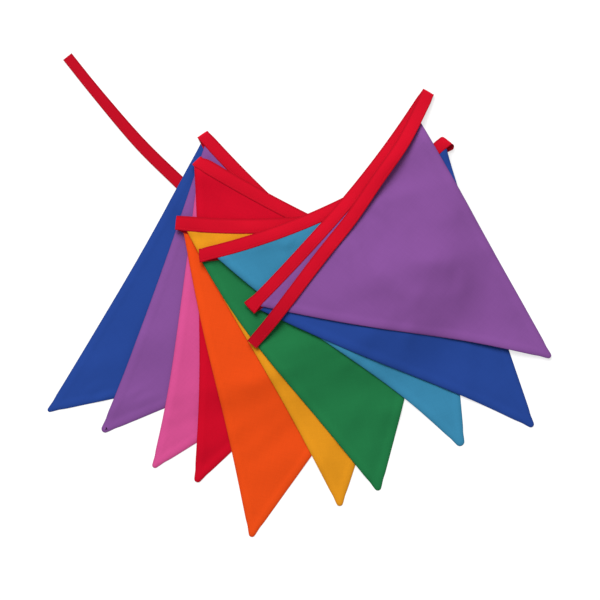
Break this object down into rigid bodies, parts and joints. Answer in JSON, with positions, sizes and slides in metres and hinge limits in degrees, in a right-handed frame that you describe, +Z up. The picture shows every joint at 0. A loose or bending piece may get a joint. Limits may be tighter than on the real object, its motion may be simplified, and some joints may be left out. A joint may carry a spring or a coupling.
{
  "type": "fabric bunting",
  "caption": "Rainbow bunting of plain triangular cloth flags on one folded binding with a tie at each end, folded back and forth and lying as an open fan; the ties hang it up.",
  "frame": {"origin": "middle of the footprint, on the surface that the bunting lies on", "axes": "+Z up from the surface, +Y from the flags' tips towards the ties, +X to the right seen from above"},
  "size_m": [0.4482, 0.4286, 0.0185],
  "materials": {
    "binding_red": "cotton binding tape, folded and edge-stitched, matt with a slight sheen",
    "cotton_royal_blue": "plain woven cotton, matt, two layers sewn on the long edges and turned out",
    "cotton_purple": "plain woven cotton, matt, two layers sewn on the long edges and turned out",
    "cotton_pink": "plain woven cotton, matt, two layers sewn on the long edges and turned out",
    "cotton_red": "plain woven cotton, matt, two layers sewn on the long edges and turned out",
    "cotton_orange": "plain woven cotton, matt, two layers sewn on the long edges and turned out",
    "cotton_yellow": "plain woven cotton, matt, two layers sewn on the long edges and turned out",
    "cotton_green": "plain woven cotton, matt, two layers sewn on the long edges and turned out",
    "cotton_sky_blue": "plain woven cotton, matt, two layers sewn on the long edges and turned out"
  },
  "bodies": {
    "root": {"binding_tape": "binding_red", "flag_01_blue": "cotton_royal_blue", "flag_02_purple": "cotton_purple", "flag_03_pink": "cotton_pink", "flag_04_red": "cotton_red", "flag_05_orange": "cotton_orange", "flag_06_yellow": "cotton_yellow", "flag_07_green": "cotton_green", "flag_08_sky": "cotton_sky_blue", "flag_09_blue": "cotton_royal_blue", "flag_10_purple": "cotton_purple"}
  },
  "joints": []
}
